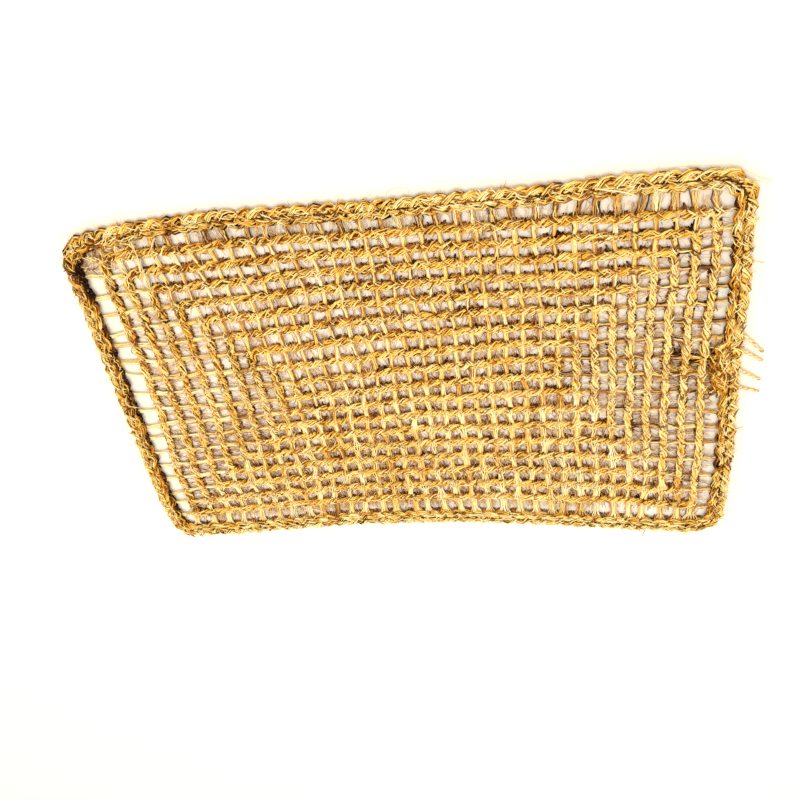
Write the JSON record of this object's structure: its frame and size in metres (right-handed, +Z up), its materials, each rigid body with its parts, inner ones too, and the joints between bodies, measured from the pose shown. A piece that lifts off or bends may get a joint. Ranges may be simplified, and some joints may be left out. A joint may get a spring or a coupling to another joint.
{
  "type": "straw mat",
  "caption": "Flat rectangular open-weave mat: a straw net laid in nested rectangular rounds inside a thick plaited straw border, with short cut cord ends at one side.",
  "frame": {"origin": "on the floor under the middle of the mat's bounding box, loose ends included", "axes": "+X along the long side, towards the side with the loose ends; +Y across, towards the edge that is nearest the camera in the picture; +Z up"},
  "size_m": [0.7438, 0.4558, 0.0112],
  "materials": {
    "net_straw": "dry golden straw cord, matt with a slight sheen",
    "border_straw": "dry straw plait, golden to brown, matt with a slight sheen"
  },
  "bodies": {
    "root": {"net_panel": "net_straw", "plaited_border": "border_straw"}
  },
  "joints": []
}
